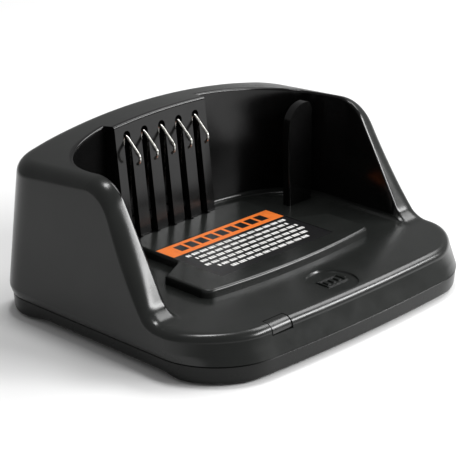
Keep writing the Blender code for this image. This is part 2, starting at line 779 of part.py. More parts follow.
def lathe(bm, profile, centre, sides=20):
    """A closed solid turned about Y from a (radius, y) profile that starts and ends on the axis."""
    start = bm.verts.new((centre[0], profile[0][1], centre[2]))
    end = bm.verts.new((centre[0], profile[-1][1], centre[2]))
    rings = []
    for radius, height in profile[1:-1]:
        ring = []
        for i in range(sides):
            turn = 2 * math.pi * i / sides
            x, z = centre[0] + radius * math.cos(turn), centre[2] + radius * math.sin(turn)
            ring.append(bm.verts.new((x, height, z)))
        rings.append(ring)
    for i in range(sides):
        j = (i + 1) % sides
        bm.faces.new((start, rings[0][i], rings[0][j]))
        bm.faces.new((end, rings[-1][j], rings[-1][i]))
        for lower, upper in zip(rings, rings[1:]):
            bm.faces.new((lower[i], upper[i], upper[j], lower[j]))


def make_light_pipe(finish):
    """Clear bar that carries the indicator's light to a window in the shelf's rounded front edge."""
    bm = bmesh.new()
    shift = BOW * (PIPE_X / HALF_WIDTH) ** 2
    front_y = OUTLINE_Y - HALF_DEPTH + shift + (SHELF_Z - EDGE_ROUND - PARTING_Z) * FRONT_SLOPE
    round_centre = (front_y + EDGE_ROUND, SHELF_Z - EDGE_ROUND)
    outline = arc(round_centre, EDGE_ROUND - 0.05 * MM, 92, 182, 5)
    outline += [
        (front_y + 0.1 * MM, 12.1 * MM),
        (-44.0 * MM, 12.1 * MM),
        (-43.6 * MM, 9.0 * MM),
        (-28.4 * MM, 9.0 * MM),
        (-28.4 * MM, 11.8 * MM),
        (-41.5 * MM, 12.3 * MM),
        (-43.2 * MM, 12.6 * MM),
        (-43.2 * MM, round_centre[1] + EDGE_ROUND - 0.06 * MM),
    ]
    half = PIPE_WIDTH / 2
    prism(bm, outline, PIPE_X - half, PIPE_X + half, lambda u, v, d: (d, u, v))
    add_object("light_pipe", mesh_from("light_pipe", bm), finish)


def block_part(name, centre, size, finish, bevel=0.3):
    """A small square component standing on the board."""
    bm = bmesh.new()
    x, y = centre[0] * MM, centre[1] * MM
    half_x, half_y = size[0] * MM / 2, size[1] * MM / 2
    low = BOARD_TOP + SEAT_GAP
    box(bm, (x - half_x, x + half_x), (y - half_y, y + half_y), (low, low + size[2] * MM))
    bmesh.ops.bevel(bm, geom=bm.edges[:], offset=bevel * MM, segments=1, affect="EDGES")
    return add_object(name, mesh_from(name, bm), finish)


def round_part(name, centre, radius, height, finish):
    """A small can-shaped component standing on the board."""
    bm = bmesh.new()
    low = BOARD_TOP + SEAT_GAP
    edge = 0.3 * MM
    radius *= MM
    profile = ((radius, low), (radius, low + height * MM - edge), (radius - edge, low + height * MM))
    turned(bm, profile, (centre[0] * MM, centre[1] * MM, 0.0), 20)
    return smooth(add_object(name, mesh_from(name, bm), finish))


def make_components(chip, can, ferrite, ceramic, lamp):
    block_part("controller_chip", (-8, -4), (9, 9, 1.6), chip)
    block_part("power_transistor", (14, -8), (6.6, 9, 2.3), chip)
    block_part("power_inductor", (26, 4), (7.3, 7.3, 3.6), ferrite, 0.8)
    block_part("rectifier_diode", (30, 18), (4.4, 3.6, 2.2), chip)
    block_part("board_fuse", (34, 27), (2.6, 6.2, 1.8), ceramic)
    block_part("indicator_led", (PIPE_X / MM, -26.2), (4.0, 2.6, 3.0), lamp)
    round_part("capacitor_1", (12, 10), 2.5, 4.3, can)
    round_part("capacitor_2", (-24, 12), 2.5, 4.3, can)


# ---------------------------------------------------------------- labels


def make_labels(face, back):
    """The printed label on the rest pad and the blank rating label underneath."""
    bm = bmesh.new()
    half_x, half_y = LABEL_SIZE[0] / 2, LABEL_SIZE[1] / 2
    x, y = LABEL_CENTRE
    low = PAD_Z - LABEL_SEAT + SEAT_GAP
    box(bm, (x - half_x, x + half_x), (y - half_y, y + half_y), (low, low + LABEL_THICK))
    add_object("care_label", mesh_from("care_label", bm), face)
    bm = bmesh.new()
    low = BASE_Z - SEAT_GAP
    box(bm, (-24 * MM, 24 * MM), (-14 * MM, 14 * MM), (low - LABEL_THICK, low))
    add_object("rating_label", mesh_from("rating_label", bm), back)


def main():
    clear_scene()
    body = material("black_plastic", (0.022, 0.023, 0.022), 0.38)
    base = material("base_plastic", (0.024, 0.025, 0.024), 0.45)
    rubber = material("foot_rubber", (0.012, 0.012, 0.012), 0.85)
    wire = material("plated_wire", (0.78, 0.77, 0.74), 0.22, 1.0)
    carrier = material("carrier_plastic", (0.05, 0.05, 0.05), 0.5)
    laminate = material("board_laminate", (0.02, 0.12, 0.05), 0.45)
    steel = material("screw_steel", (0.55, 0.55, 0.56), 0.35, 1.0)
    clear = material("clear_plastic", (0.035, 0.037, 0.038), 0.15)
    chip = material("chip_black", (0.02, 0.02, 0.022), 0.5)
    can = material("can_aluminium", (0.7, 0.7, 0.72), 0.3, 1.0)
    ferrite = material("ferrite_grey", (0.09, 0.09, 0.1), 0.6)
    ceramic = material("fuse_ceramic", (0.75, 0.72, 0.62), 0.5)
    lamp = material("lamp_white", (0.85, 0.85, 0.78), 0.3)
    label = material("label_face", (0.015, 0.015, 0.016), 0.3)
    paper = material("label_silver", (0.55, 0.55, 0.56), 0.45)

    make_upper_housing(body)
    make_lower_housing(base)
    make_feet(rubber)
    for index, x in enumerate(slot_places(), 1):
        make_spring(index, x, wire)
    make_carrier(carrier)
    make_retainer(carrier, steel)
    make_board(laminate)
    make_screws(steel)
    make_jack(chip)
    make_light_pipe(clear)
    make_components(chip, can, ferrite, ceramic, lamp)
    make_labels(label, paper)


main()
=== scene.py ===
"""Looks of the desktop charging cradle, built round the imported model. Metres, +Z up, the front faces -Y."""

import itertools
import math

import bmesh
import bpy
from mathutils import Matrix, Vector


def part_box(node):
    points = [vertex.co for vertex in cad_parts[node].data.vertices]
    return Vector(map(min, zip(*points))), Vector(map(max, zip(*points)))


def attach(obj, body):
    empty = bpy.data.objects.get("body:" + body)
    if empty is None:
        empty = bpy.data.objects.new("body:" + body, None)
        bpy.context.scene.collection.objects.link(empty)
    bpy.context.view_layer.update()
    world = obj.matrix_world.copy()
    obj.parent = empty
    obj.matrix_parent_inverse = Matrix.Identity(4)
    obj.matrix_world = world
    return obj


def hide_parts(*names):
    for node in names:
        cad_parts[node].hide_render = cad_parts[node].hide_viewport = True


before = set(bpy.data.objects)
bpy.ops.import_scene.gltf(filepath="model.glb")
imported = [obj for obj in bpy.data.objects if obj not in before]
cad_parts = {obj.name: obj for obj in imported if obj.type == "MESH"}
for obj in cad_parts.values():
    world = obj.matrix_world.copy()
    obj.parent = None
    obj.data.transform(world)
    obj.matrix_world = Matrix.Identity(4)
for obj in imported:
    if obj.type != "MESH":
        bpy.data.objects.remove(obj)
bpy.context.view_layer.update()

MM = 0.001
CRADLE = "cradle"
UPPER_LOW, UPPER_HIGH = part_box("upper_housing")
LOWER_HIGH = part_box("lower_housing")[1]
LABEL_LOW, LABEL_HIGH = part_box("care_label")
PIPE_LOW, PIPE_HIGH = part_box("light_pipe")
JACK_LOW, JACK_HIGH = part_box("dc_jack")

# Plan outline at the parting line between the two housings.
SKIRT_FLARE = 0.9 * MM
HALF_WIDTH = UPPER_HIGH.x - SKIRT_FLARE
HALF_DEPTH = 50.3 * MM
OUTLINE_Y = -0.45 * MM
BOW = 3.1 * MM
FRONT_CORNER = 22.4 * MM
BACK_CORNER = 13.0 * MM
PARTING_Z = UPPER_LOW.z

# Upper housing.
WALL = 2.2 * MM
SKIRT_Z = 9.2 * MM
SIDE_DRAFT = math.tan(math.radians(5.5))
FRONT_SLOPE = math.tan(math.radians(24.6))
TOP_ROUND = (4.2 * MM, 2.4 * MM)
SLOPE_ROUND = (6.6 * MM, 7.4 * MM)
FRONT_ROUND = (3.0 * MM, 2.8 * MM)
RIM_CROWN_Z = 57.3 * MM
RIM_ARCH = 1.9
RIM_FALL = 0.07
RIM_CENTRE_Y = 10.5 * MM
SHELF_Z = 15.1 * MM
SLOPE_Y = -10.1 * MM
SLOPE_Z = 33.0 * MM
SLOPE_ANGLE = math.radians(58.8)
SIDE_TOP_Z = 51.7 * MM
SLOPE_TOP_ROUND = 13.0 * MM
SLOPE_FOOT_ROUND = 8.0 * MM
SATIN, GLOSS = 0, 1
GLOSS_RISE = 2.5 * MM
POCKET_BANDS = 10
CREASE_ANGLE = 28.0

# Radio pocket and the contact wall at its back.
POCKET_HALF = 53.7 * MM
POCKET_ARC_Y = 9.5 * MM
POCKET_ARC_DEPTH = 26.8 * MM
POCKET_POWER = 2.7
POCKET_DRAFT = 0.8 * MM
POCKET_FILLET = 1.8 * MM
LIP = 0.9 * MM
SHELF_ARC_Y = -20.0 * MM
SHELF_ARC_DEPTH = 22.0 * MM
SHELF_POWER = 4.0
BLOCK_LEFT = -26.7 * MM
BLOCK_RIGHT = 14.5 * MM
BLOCK_FOOT_Y = 25.9 * MM
BLOCK_LEAN = math.tan(math.radians(7.2))
BLOCK_RIM_Y = 31.0 * MM
BLOCK_STEP = 0.8 * MM
SPRINGS = [f"contact_spring_{i}" for i in range(1, 6)]
SLOT_HALF = 1.5 * MM
SLOT_TOP_Z = 52.2 * MM
SLOT_CUT = (24.6 * MM, 34.0 * MM)
SPRING_SPACE_X = (-24.3 * MM, 12.1 * MM)
SPRING_SPACE_BACK = 36.2 * MM
SPRING_SPACE_FOOT = 10 * MM
WIRE_RADIUS = 0.46 * MM
WIRE_SIDES = 14

# Rest pad, guide rib, emblem. What is joined to the shelf starts at SUNK_Z, inside its wall.
SUNK_Z = SHELF_Z - 0.8 * MM
LABEL_SEAT = 0.35 * MM
LABEL_GAP = 0.12 * MM
PAD_Z = LABEL_LOW.z + LABEL_SEAT - 0.1 * MM
PAD_HALF = 38.0 * MM
PAD_CORNER = 3.6 * MM
PAD_FRONT_Y = -23.6 * MM
PAD_BOW = 2.8 * MM
PAD_EDGE = 1.1 * MM
PAD_DRAFT = 0.15 * MM
PAD_SIDE_CORNER = 1.4 * MM
PAD_SIDE_Y = -3.6 * MM
PAD_NECK = ((28.2 * MM, 2.0 * MM), (27.4 * MM, 2.8 * MM), (27.1 * MM, 4.2 * MM), (27.1 * MM, 26.4 * MM))
RIB_LEFT = 38.5 * MM
RIB_RIGHT = 49.9 * MM
RIB_TOP_Z = 49.7 * MM
RIB_FRONT_Y = 14.8 * MM
RIB_THICK = 2.8 * MM
RIB_LEAN = 0.03
RIB_SHOULDER = 8.0 * MM
RIB_EDGE = 2.5 * MM
WEB_X = (48.6 * MM, 49.7 * MM)
WEB_TOP_Z = 46.0 * MM
EMBLEM_Y = -37.2 * MM
EMBLEM_RADIUS = 8.2 * MM
EMBLEM_DEPTH = 0.5 * MM
EMBLEM_SUNK = 0.1 * MM

# Label print, with its material slots.
FILM, BAND, DASHES = 0, 1, 2
BAND_DEPTH = 8.2 * MM
BAND_MARKS = 9
BAND_MARK_HALF = 2.1 * MM
BAND_MARK_SHARE = 0.74
DASH_PITCH = 2.95 * MM
DASH_HALF = 0.72 * MM
DASH_LENGTHS = (0.8, 0.55, 0.95, 0.7, 0.6, 0.85, 0.75)
DASH_INSETS = (2.2, 3.4, 2.6, 1.6, 4.2, 7.0)
WORD_GAP = 0.85
DASH_GAP = 0.27

# Openings for the light pipe and the power jack.
OPENING_GAP = 0.3 * MM
PIPE_GAP = 0.06 * MM
PIPE_CUT_Y = (-52 * MM, -42.9 * MM)
PIPE_CUT_Z = (11.8 * MM, 17 * MM)
PIPE_UNDER_Z = 12.1 * MM
PIPE_FOOT_Z = 9.0 * MM
PIPE_BACK_Y = -43.2 * MM
JACK_CUT_Y = (44 * MM, 54 * MM)
JACK_CUT_FOOT = 4 * MM

# Lower housing.
BASE_Z = 1.8 * MM
FOOT_DROP = 1.4 * MM
FRONT_DROP = 1.1 * MM
TONGUE_Z = LOWER_HIGH.z
TONGUE_INSET = 2.6 * MM
TONGUE_INSET_FRONT = 0.9 * MM
SHADOW_GAP = 0.3 * MM
BASE_EDGE = ((0.5, 1.3), (0.65, 0.7), (0.9, 0.3), (1.3, 0.08), (2.0, 0.0), (3.2, 0.0))
FOOT_INSETS = (6.5, 8.0, 11.0, 13.5)
UNDERSIDE_INSET = 17 * MM
SCREW_BORE = 3.3 * MM
PAD_BORE_DEPTH = 1.7 * MM


# ---------------------------------------------------------------- materials


def rgba(value):
    """A colour, or one number as a grey, with full alpha."""
    return (*value, 1.0) if isinstance(value, tuple) else (value, value, value, 1.0)


class Nodes:
    """A short way to build a material's node tree."""

    def __init__(self, name):
        self.material = bpy.data.materials.new(name)
        self.material.use_nodes = True
        self.tree = self.material.node_tree
        self.shader = self.tree.nodes["Principled BSDF"]

    def add(self, kind, **values):
        node = self.tree.nodes.new(kind)
        for key, value in values.items():
            if key in node.inputs:
                node.inputs[key].default_value = value
            else:
                setattr(node, key, value)
        return node

    def link(self, source, target):
        self.tree.links.new(source, target)

    def noise(self, scale, detail=4.0):
        place = self.add("ShaderNodeTexCoord")
        made = self.add("ShaderNodeTexNoise", Scale=scale, Detail=detail, Roughness=0.55)
        self.link(place.outputs["Object"], made.inputs["Vector"])
        return made.outputs["Fac"]

    def ramp(self, source, low, high, start=0.3, end=0.7):
        """Maps a 0 to 1 value onto two colours or greys."""
        made = self.add("ShaderNodeValToRGB")
        for stop, place, value in zip(made.color_ramp.elements, (start, end), (low, high)):
            stop.position = place
            stop.color = rgba(value)
        self.link(source, made.inputs["Fac"])
        return made.outputs["Color"]

    def bump(self, source, strength, distance):
        made = self.add("ShaderNodeBump", Strength=strength, Distance=distance)
        self.link(source, made.inputs["Height"])
        self.link(made.outputs["Normal"], self.shader.inputs["Normal"])

    def colour(self, source, low, high, start=0.3, end=0.7):
        self.link(self.ramp(source, low, high, start, end), self.shader.inputs["Base Color"])

    def roughness(self, source, low, high):
        self.link(self.ramp(source, low, high), self.shader.inputs["Roughness"])


def moulded_plastic(name, dark, light, gloss, grain_scale, grain, specular=0.42):
    """Injection-moulded plastic: faint cloudy colour, uneven gloss and a fine moulded grain."""
    made = Nodes(name)
    made.colour(made.noise(60.0), dark, light)
    made.roughness(made.noise(140.0, 6.0), *gloss)
    made.shader.inputs["Specular IOR Level"].default_value = specular
    made.bump(made.noise(grain_scale, 2.0), grain, 0.00004)
    return made.material


def plated_metal(name, dark, light, gloss, scale=900.0):
    """Plated or drawn metal with fine drawing marks."""
    made = Nodes(name)
    made.shader.inputs["Metallic"].default_value = 1.0
    made.colour(made.noise(scale), dark, light)
    made.roughness(made.noise(scale * 2), *gloss)
    made.bump(made.noise(scale * 4), 0.05, 0.00002)
    return made.material


def board_laminate():
    """Green solder mask over glass weave."""
    made = Nodes("board_mask")
    weave = made.add("ShaderNodeTexWave", Scale=900.0, Distortion=0.4)
    made.link(made.add("ShaderNodeTexCoord").outputs["Object"], weave.inputs["Vector"])
    made.colour(made.noise(90.0), (0.008, 0.06, 0.025), (0.015, 0.11, 0.045))
    made.roughness(weave.outputs["Fac"], 0.28, 0.4)
    made.bump(weave.outputs["Fac"], 0.1, 0.00002)
    return made.material


def printed_ink(name, colour, worn, roughness):
    """Screen-printed ink with a slightly uneven lay."""
    made = Nodes(name)
    made.colour(made.noise(420.0, 6.0), worn, colour, 0.28, 0.5)
    made.roughness(made.noise(800.0), roughness, roughness + 0.05)
    made.bump(made.noise(1500.0), 0.02, 0.00002)
    return made.material


def smoked_plastic():
    """The light pipe's dark, clear moulding."""
    made = Nodes("smoked_plastic")
    made.colour(made.noise(120.0), (0.006, 0.0065, 0.006), (0.01, 0.0105, 0.01))
    made.roughness(made.noise(200.0), 0.24, 0.32)
    made.bump(made.noise(1600.0, 2.0), 0.015, 0.00004)
    return made.material


# ---------------------------------------------------------------- mesh helpers


def mesh_object(name, bm, *finishes, sharp=32.0):
    """Turns the bmesh into a smooth-shaded object with its creases kept."""
    bmesh.ops.recalc_face_normals(bm, faces=bm.faces[:])
    mesh = bpy.data.meshes.new(name)
    bm.to_mesh(mesh)
    bm.free()
    obj = bpy.data.objects.new(name, mesh)
    bpy.context.scene.collection.objects.link(obj)
    for finish in finishes:
        mesh.materials.append(finish)
    crease(obj, sharp)
    return obj


def crease(obj, sharp):
    obj.data.shade_smooth()
    obj.data.set_sharp_from_angle(angle=math.radians(sharp))


def place_on(obj, body, slot, *replaced):
    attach(obj, body)
    for node in replaced:
        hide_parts(node)


def bridge(bm, rings):
    """Joins rings of equal length into a closed solid. Returns the faces of each band, then the two caps."""
    bands = []
    for lower, upper in zip(rings, rings[1:]):
        turned_lower, turned_upper = lower[1:] + lower[:1], upper[1:] + upper[:1]
        corners = zip(lower, turned_lower, turned_upper, upper)
        bands.append([bm.faces.new(face) for face in corners])
    bands.append([bm.faces.new(rings[0][::-1]), bm.faces.new(rings[-1])])
    return bands


def loft(bm, sections):
    """The closed solid through sections that run round it, each a list of (x, y, z). Returns its bands."""
    rings = [[bm.verts.new(section[i]) for section in sections] for i in range(len(sections[0]))]
    return bridge(bm, rings)


def box(bm, x, y, z):
    corners = [bm.verts.new((a, b, c)) for a in x for b in y for c in z]
    faces = ((0, 1, 3, 2), (4, 6, 7, 5), (0, 4, 5, 1), (2, 3, 7, 6), (0, 2, 6, 4), (1, 5, 7, 3))
    return [bm.faces.new([corners[i] for i in face]) for face in faces]


def painted_box(bm, slot, x, y, z):
    for face in box(bm, x, y, z):
        face.material_index = slot


def prism(bm, outline, low, high, place):
    """A polygon extruded from low to high. place turns (u, v, depth) into (x, y, z). Returns the low ring."""
    near = [bm.verts.new(place(u, v, low)) for u, v in outline]
    far = [bm.verts.new(place(u, v, high)) for u, v in outline]
    bridge(bm, [near, far])
    return near


def turned(bm, profile, centre, sides=48):
    """A solid of revolution about an upright axis. profile is (radius, height) from one end to the other."""
    rings = []
    for radius, height in profile:
        ring = []
        for i in range(sides):
            turn = 2 * math.pi * i / sides
            offset = (radius * math.cos(turn), radius * math.sin(turn), height)
            ring.append(bm.verts.new([c + o for c, o in zip(centre, offset)]))
        rings.append(ring)
    bridge(bm, rings)


def upright_node(node):
    """Centre in plan and radius of a round node that stands upright."""
    low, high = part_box(node)
    return ((low.x + high.x) / 2, (low.y + high.y) / 2, 0.0), (high.x - low.x) / 2


def arc(centre, radius, start, end, steps):
    """Points along an arc, from the start angle to the end angle in degrees."""
    points = []
    for i in range(steps + 1):
        turn = math.radians(start + (end - start) * i / steps)
        points.append((centre[0] + radius * math.cos(turn), centre[1] + radius * math.sin(turn)))
    return points


def cut_or_join(obj, operation, bm, slot=0):
    """Applies a Boolean with the closed bmesh at once. Its new faces take the material in that slot."""
    bmesh.ops.recalc_face_normals(bm, faces=bm.faces[:])
    mesh = bpy.data.meshes.new("helper")
    bm.to_mesh(mesh)
    bm.free()
    helper = bpy.data.objects.new("helper", mesh)
    bpy.context.scene.collection.objects.link(helper)
    for finish in obj.data.materials:
        mesh.materials.append(finish)
    for face in mesh.polygons:
        face.material_index = slot
    modifier = obj.modifiers.new("helper", "BOOLEAN")
    modifier.operation = operation
    modifier.solver = "EXACT"
    modifier.object = helper
    apply_modifiers(obj)
    bpy.data.objects.remove(helper)


def apply_modifiers(obj):
    bpy.context.view_layer.update()
    graph = bpy.context.evaluated_depsgraph_get()
    mesh = bpy.data.meshes.new_from_object(obj.evaluated_get(graph))
    obj.modifiers.clear()
    obj.data = mesh


def weigh_normals(obj):
    """Lets large flat faces keep their own shading next to small rounds."""
    crease(obj, CREASE_ANGLE)
    modifier = obj.modifiers.new("weighted", "WEIGHTED_NORMAL")
    modifier.keep_sharp = True
    modifier.weight = 50


# ---------------------------------------------------------------- plan outlines and rim height


def blend(low, high, value):
    t = min(1.0, max(0.0, (value - low) / (high - low)))
    return t * t * (3 - 2 * t)


def outline_distance(x, y, inset):
    """Below zero inside the plan outline drawn that far inside the parting edge."""
    y -= OUTLINE_Y
    y += BOW * (x / HALF_WIDTH) ** 2 * y / HALF_DEPTH
    corner = max((FRONT_CORNER if y < 0 else BACK_CORNER) - inset, 2 * MM)
    over_x = abs(x) - (HALF_WIDTH - inset - corner)
    over_y = abs(y) - (HALF_DEPTH - inset - corner)
    return math.hypot(max(over_x, 0), max(over_y, 0)) + min(max(over_x, over_y), 0) - corner


def outline_point(origin, direction, inset):
    """Where the line through origin meets the outline at that inset, by bisection."""
    near, far = -20 * MM, HALF_WIDTH
    for _ in range(30):
        middle = (near + far) / 2
        if outline_distance(origin[0] + direction[0] * middle, origin[1] + direction[1] * middle, inset) < 0:
            near = middle
        else:
            far = middle
    return origin[0] + direction[0] * near, origin[1] + direction[1] * near


def side_profile(y):
    """Height of the side rim at y, before the dome of the top is laid over it."""
    tangent = math.tan(SLOPE_ANGLE / 2)
    steep = math.tan(SLOPE_ANGLE)
    top_end = SLOPE_Y + (SIDE_TOP_Z - SLOPE_Z) / steep + SLOPE_TOP_ROUND * tangent
    foot_end = SLOPE_Y + (SHELF_Z - SLOPE_Z) / steep - SLOPE_FOOT_ROUND * tangent
    if y >= top_end:
        return SIDE_TOP_Z
    if y <= foot_end:
        return SHELF_Z
    if y > top_end - SLOPE_TOP_ROUND * math.sin(SLOPE_ANGLE):
        return SIDE_TOP_Z - SLOPE_TOP_ROUND + math.sqrt(SLOPE_TOP_ROUND**2 - (top_end - y) ** 2)
    if y < foot_end + SLOPE_FOOT_ROUND * math.sin(SLOPE_ANGLE):
        return SHELF_Z + SLOPE_FOOT_ROUND - math.sqrt(SLOPE_FOOT_ROUND**2 - (y - foot_end) ** 2)
    return SLOPE_Z + (y - SLOPE_Y) * steep


def rim_height(x, y):
    dome = RIM_CROWN_Z - RIM_ARCH * x * x - RIM_FALL * (y - RIM_CENTRE_Y)
    share = (side_profile(y) - SHELF_Z) / (SIDE_TOP_Z - SHELF_Z)
    return SHELF_Z + (dome - SHELF_Z) * share


def ceiling(x, y):
    """Underside of the rim, a wall's thickness below the top surface."""
    step = 0.2 * MM
    slope = (rim_height(x, y + step) - rim_height(x, y - step)) / (2 * step)
    return max(rim_height(x, y) - WALL * math.sqrt(1 + slope**2), SHELF_Z - WALL)


def block_face(z):
    return BLOCK_FOOT_Y + (z - SHELF_Z) * BLOCK_LEAN


def arc_depth(x):
    share = min(1.0, abs(x) / POCKET_HALF)
    return POCKET_ARC_Y + POCKET_ARC_DEPTH * (1 - share**POCKET_POWER) ** (1 / POCKET_POWER)


def pulled_in(point, direction, amount):
    return point[0] - direction[0] * amount, point[1] - direction[1] * amount


class Station:
    """One upright section of the housings: a ray in plan, and where the pocket's wall crosses it."""

    def __init__(self, direction, edge, block_x=None):
        self.direction = direction
        self.edge = edge
        self.foot = pulled_in(edge, direction, POCKET_DRAFT)
        self.rim = edge
        self.floor = self.foot
        if block_x is not None:
            self.rim = (block_x, block_face(rim_height(block_x, BLOCK_RIM_Y)))
            self.floor = (block_x, block_face(SHELF_Z))
        self.frontness = blend(26 * MM, 46 * MM, -outline_point(edge, direction, 0.0)[1])

    def outer(self, inset, z=0.0):
        x, y = outline_point(self.edge, self.direction, inset)
        return x, y, z

    def wall_inset(self, z):
        """How far the drafted outer wall stands inside the parting edge at height z."""
        if z < SKIRT_Z:
            side = -SKIRT_FLARE * math.sin(math.pi / 2 * (z - PARTING_Z) / (SKIRT_Z - PARTING_Z))
        else:
            side = -SKIRT_FLARE + (z - SKIRT_Z) * SIDE_DRAFT
        front = (z - PARTING_Z) * FRONT_SLOPE
        return side + (front - side) * self.frontness


def back_stations(steps):
    """Sections round the back of the pocket, from its right side to its left side."""
    places = []
    for i in range(steps + 1):
        turn = math.pi * i / steps
        places.append(math.copysign(abs(math.cos(turn)) ** (2 / POCKET_POWER), math.cos(turn)) * POCKET_HALF)
    half = BLOCK_STEP / 2
    places = [x for x in places if min(abs(x - BLOCK_LEFT), abs(x - BLOCK_RIGHT)) > 2 * half]
    places += [BLOCK_LEFT - half, BLOCK_LEFT + half, BLOCK_RIGHT - half, BLOCK_RIGHT + half]
    stations = []
    for x in sorted(places, reverse=True):
        turn = math.pi / 2 * min(1.0, abs(x) / POCKET_HALF) ** 3
        direction = (math.copysign(math.sin(turn), x), math.cos(turn))
        on_block = BLOCK_LEFT < x < BLOCK_RIGHT
        stations.append(Station(direction, (x, arc_depth(x)), x if on_block else None))
    return stations


def side_stations(side, steps):
    stations = []
    for i in range(1, steps):
        y = POCKET_ARC_Y + (SHELF_ARC_Y - POCKET_ARC_Y) * i / steps
        stations.append(Station((side, 0.0), (side * POCKET_HALF, y)))
    return stations


def shelf_stations(steps):
    stations = []
    for i in range(steps + 1):
        turn = math.pi * (1 + i / steps)
        direction = (math.cos(turn), math.sin(turn))
        across = abs(direction[0] / POCKET_HALF) ** SHELF_POWER
        along = abs(direction[1] / SHELF_ARC_DEPTH) ** SHELF_POWER
        reach = (across + along) ** (-1 / SHELF_POWER)
        stations.append(Station(direction, (direction[0] * reach, SHELF_ARC_Y + direction[1] * reach)))
    return stations


STATIONS = back_stations(110) + side_stations(-1.0, 64) + shelf_stations(120) + side_stations(1.0, 64)[::-1]


# ---------------------------------------------------------------- upper housing


def edge_round(station):
    """Width and depth of the outer round, which is largest on the side's slope."""
    x, y, _ = station.outer(TOP_ROUND[0])
    share = (rim_height(x, y) - SHELF_Z) / (SIDE_TOP_Z - SHELF_Z)
    steep = 4 * min(1.0, share) * (1 - min(1.0, share))
    sizes = []
    for top, slope, front in zip(TOP_ROUND, SLOPE_ROUND, FRONT_ROUND):
        side = top + (slope - top) * steep
        sizes.append(side + (front - side) * station.frontness)
    return sizes


def outer_points(station):
    """From the parting edge up the outer wall, over the round and across the top to the lip."""
    points = []
    for i in range(6):
        z = PARTING_Z + (SKIRT_Z - PARTING_Z) * i / 5
        points.append(station.outer(station.wall_inset(z), z))
    width, depth = edge_round(station)
    x, y, _ = station.outer(width)
    base = station.wall_inset(rim_height(x, y) - depth)
    steps = 9
    for i in range(steps + 1):
        turn = math.pi / 2 * i / steps
        x, y, _ = station.outer(base + width * (1 - math.cos(turn)))
        points.append((x, y, rim_height(x, y) - depth * (1 - math.sin(turn))))
    return points


def lip_points(station, start):
    """From start across the top band, over a fine round at the inner edge and down to the pocket's floor."""
    rim_x, rim_y = station.rim
    height = rim_height(rim_x, rim_y) - SHELF_Z
    lip = min(LIP, 0.3 * height)
    along = station.direction
    points = []
    inner = (rim_x + along[0] * LIP, rim_y + along[1] * LIP)
    for share in (0.25, 0.5, 0.75, 0.93):
        x = start[0] + (inner[0] - start[0]) * share
        y = start[1] + (inner[1] - start[1]) * share
        points.append((x, y, rim_height(x, y)))
    for turn in (90, 67, 45, 22, 0):
        x, y = pulled_in(inner, along, LIP * math.cos(math.radians(turn)))
        points.append((x, y, rim_height(x, y) - lip * (1 - math.sin(math.radians(turn)))))
    fillet = min(POCKET_FILLET, 0.45 * height)
    floor_x, floor_y = station.floor
    for turn in (0, 22, 45, 67, 90):
        reach = POCKET_FILLET * (1 - math.cos(math.radians(turn)))
        x, y = floor_x - along[0] * reach, floor_y - along[1] * reach
        points.append((x, y, SHELF_Z + fillet * (1 - math.sin(math.radians(turn)))))
    return points


def under_points(station):
    """The hidden side, from the parting edge up under the rim and down below the floor."""
    points = [station.outer(WALL, PARTING_Z), station.outer(station.wall_inset(SKIRT_Z) + WALL, SKIRT_Z)]
    width, depth = edge_round(station)
    x, y, _ = station.outer(width)
    base = station.wall_inset(rim_height(x, y) - depth) + WALL
    for inset, drop in ((base, 1.2 * MM), (base + 0.8 * MM, 0.4 * MM)):
        x, y, _ = station.outer(inset)
        points.append((x, y, ceiling(x, y) - drop))
    x = station.edge[0] + station.direction[0] * WALL
    y = station.edge[1] + station.direction[1] * WALL
    points.append((x, y, ceiling(x, y)))
    x = station.foot[0] + station.direction[0] * WALL
    y = station.foot[1] + station.direction[1] * WALL
    points.append((x, y, SHELF_Z - WALL))
    return points


def make_upper_housing(satin, gloss):
    """The shell with its pocket: satin outside and on the shelf, glossy on the pocket's wall."""
    bm = bmesh.new()
    sections = []
    for station in STATIONS:
        outer = outer_points(station)
        sections.append(under_points(station)[::-1] + outer + lip_points(station, outer[-1]))
    bands = loft(bm, sections)
    for face in itertools.chain(*bands[-POCKET_BANDS - 1 : -1]):
        if max(vert.co.z for vert in face.verts) > SHELF_Z + GLOSS_RISE:
            face.material_index = GLOSS
    housing = mesh_object("housing_shell", bm, satin, gloss)

    changes = (
        ("UNION", add_rest_pad, SATIN),
        ("UNION", add_guide_rib, GLOSS),
        ("UNION", add_rib_web, GLOSS),
        ("DIFFERENCE", add_slots, GLOSS),
        ("DIFFERENCE", add_spring_space, GLOSS),
        ("DIFFERENCE", add_recesses, SATIN),
    )
    for operation, maker, slot in changes:
        change = bmesh.new()
        maker(change)
        cut_or_join(housing, operation, change, slot)
    weigh_normals(housing)
    place_on(housing, CRADLE, "black_plastic", "upper_housing")


def inset_outline(outline, amount):
    """A counter-clockwise outline moved inwards, each corner along its mitre."""
    moved = []
    for i, (x, y) in enumerate(outline):
        before, after = outline[i - 1], outline[(i + 1) % len(outline)]
        a = Vector((x - before[0], y - before[1])).normalized()
        b = Vector((after[0] - x, after[1] - y)).normalized()
        share = amount / (1 + a.dot(b))
        moved.append((x - (a.y + b.y) * share, y + (a.x + b.x) * share))
    return moved


def pad_outline():
    """The rest pad in plan: a bowed front, round corners and a narrower neck that meets the contact wall."""
    half = PAD_HALF - PAD_CORNER
    front = []
    for i in range(25):
        x = half * (i / 12 - 1)
        front.append((x, PAD_FRONT_Y + PAD_BOW * (x / PAD_HALF) ** 2))
    right = arc((half, front[0][1] + PAD_CORNER), PAD_CORNER, -80, 0, 8)
    right += arc((PAD_HALF - PAD_SIDE_CORNER, PAD_SIDE_Y), PAD_SIDE_CORNER, 0, 60, 5)
    right += PAD_NECK
    left = [(-x, y) for x, y in reversed(right)]
    return front + right[1:] + left[:-1]


